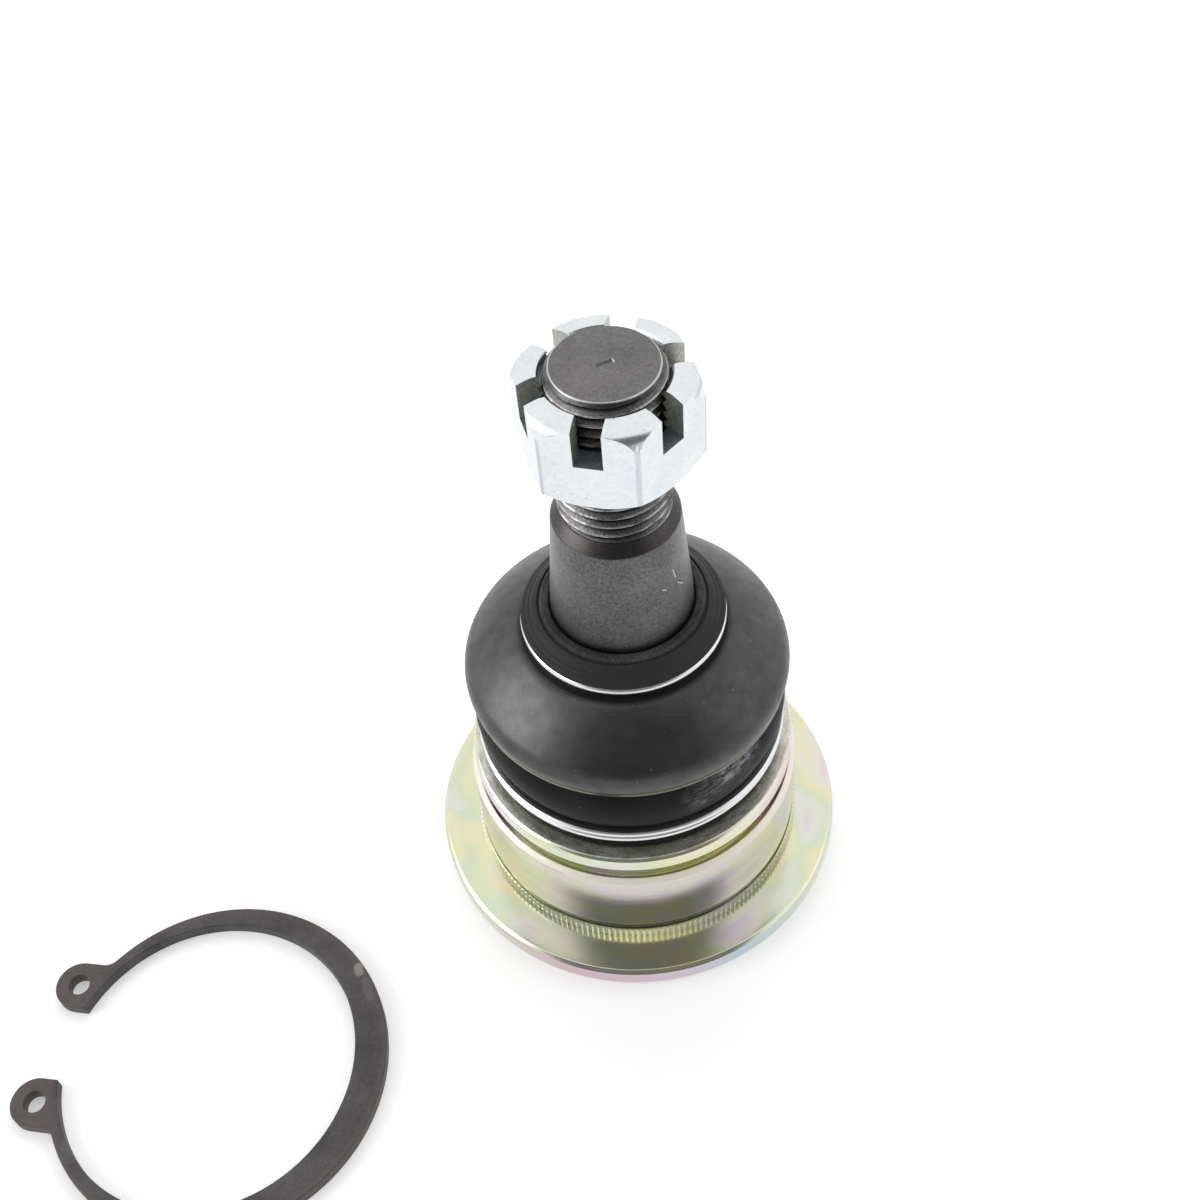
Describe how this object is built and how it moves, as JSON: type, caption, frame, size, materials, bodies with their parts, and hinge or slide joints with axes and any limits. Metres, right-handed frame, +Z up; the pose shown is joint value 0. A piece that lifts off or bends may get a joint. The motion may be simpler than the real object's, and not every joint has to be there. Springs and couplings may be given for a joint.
{
  "type": "suspension ball joint",
  "caption": "Press-fit suspension ball joint with a tapered stud, castle nut, rubber dust boot, spring clips, flanged plated housing and a loose retaining ring.",
  "frame": {"origin": "centre of the ball, which lies inside the press-fit length", "axes": "+Z up the stud's axis, -Y towards the viewer of the picture, with the loose ring on the floor at -X and -Y"},
  "size_m": [0.1016, 0.0763, 0.0773],
  "materials": {
    "plated_steel": "yellow chromate zinc over turned steel",
    "seat_polymer": "moulded bearing resin",
    "spring_steel": "plain spring steel",
    "stud_steel": "dark phosphate over ground steel",
    "boot_rubber": "satin moulded rubber",
    "bright_wire": "bright spring wire",
    "zinc_nut": "blue-white zinc plating",
    "phosphated_steel": "matt grey phosphate"
  },
  "bodies": {
    "housing": {"housing": "plated_steel", "closing_cap": "plated_steel", "lower_ball_seat": "seat_polymer", "upper_ball_seat": "seat_polymer", "preload_spring": "spring_steel"},
    "boot": {"dust_boot": "boot_rubber", "lower_clip_ring": "bright_wire"},
    "boot_collar": {"upper_clip_ring": "bright_wire"},
    "ball_stud": {"ball_stud": "stud_steel"},
    "castle_nut": {"castle_nut": "zinc_nut"},
    "snap_ring": {"snap_ring": "phosphated_steel"}
  },
  "joints": [
    {"name": "tilt_direction", "type": "hinge", "parent": "housing", "child": "boot", "pos_m": [0, 0, 0], "axis": [0, 0, 1], "continuous": true},
    {"name": "stud_tilt", "type": "hinge", "parent": "boot", "child": "boot_collar", "pos_m": [0, 0, 0], "axis": [0, 1, 0], "range_deg": [-24, 24], "deforming": ["dust_boot"]},
    {"name": "stud_spin", "type": "hinge", "parent": "boot_collar", "child": "ball_stud", "pos_m": [0, 0, 0], "axis": [0, 0, 1], "continuous": true},
    {"name": "nut_travel", "type": "slide", "parent": "ball_stud", "child": "castle_nut", "axis": [0, 0, 1], "range_m": [-0.006, 0.02]},
    {"name": "ring_slide", "type": "slide", "parent": "housing", "child": "snap_ring", "axis": [-0.8596, -0.511, 0], "range_m": [0, 0.04]}
  ]
}
